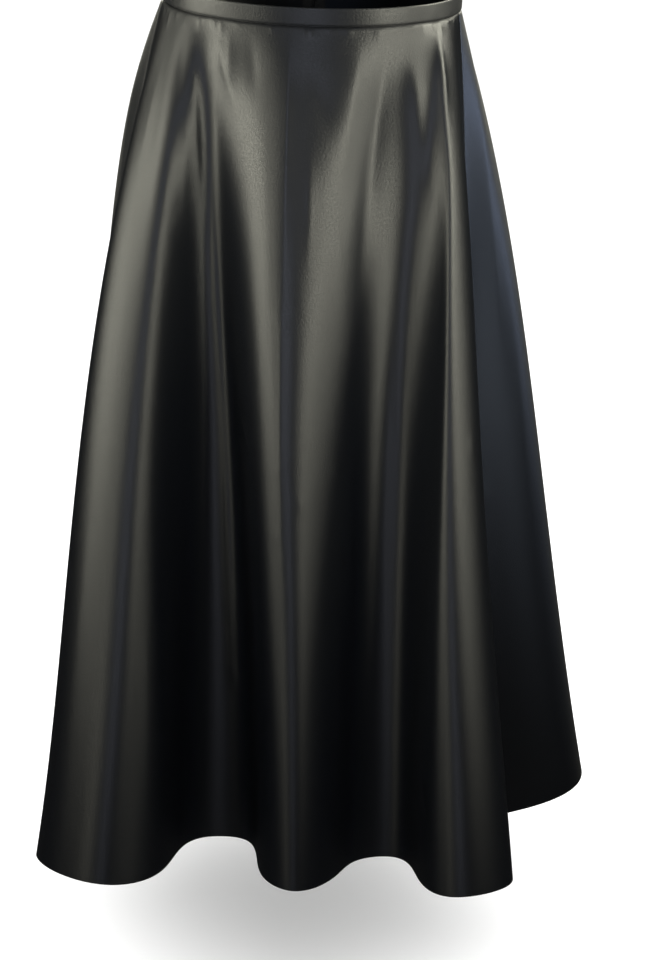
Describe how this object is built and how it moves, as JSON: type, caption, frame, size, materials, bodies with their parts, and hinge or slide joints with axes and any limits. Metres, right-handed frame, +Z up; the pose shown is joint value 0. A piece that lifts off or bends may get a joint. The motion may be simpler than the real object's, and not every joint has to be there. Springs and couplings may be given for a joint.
{
  "type": "long flared satin circle skirt",
  "caption": "Long black satin skirt filled out to its worn form, with a narrow waistband, deep soft folds and a concealed back zip.",
  "frame": {"origin": "centre of the waist opening, level with the seam under the waistband", "axes": "+Z up out of the waist, -Y to the front, +X to the right of someone who looks at the front"},
  "size_m": [0.6202, 0.6672, 0.9131],
  "materials": {
    "satin": "heavy black satin, smooth, with broad soft highlights",
    "zip_tape": "matt black woven zip tape",
    "enamelled_metal": "black enamel over die-cast metal"
  },
  "bodies": {
    "skirt": {"front_panel": "satin", "back_right_panel": "satin", "back_left_panel": "satin", "waistband": "satin", "zip_tape": "zip_tape", "zip_slider": "enamelled_metal"},
    "zip_pull": {"zip_pull": "enamelled_metal"}
  },
  "joints": [
    {"name": "zip_pull_swing", "type": "hinge", "parent": "skirt", "child": "zip_pull", "pos_m": [0, 0.1156, 0.013], "axis": [1, 0, 0], "range_deg": [0, 150]}
  ]
}
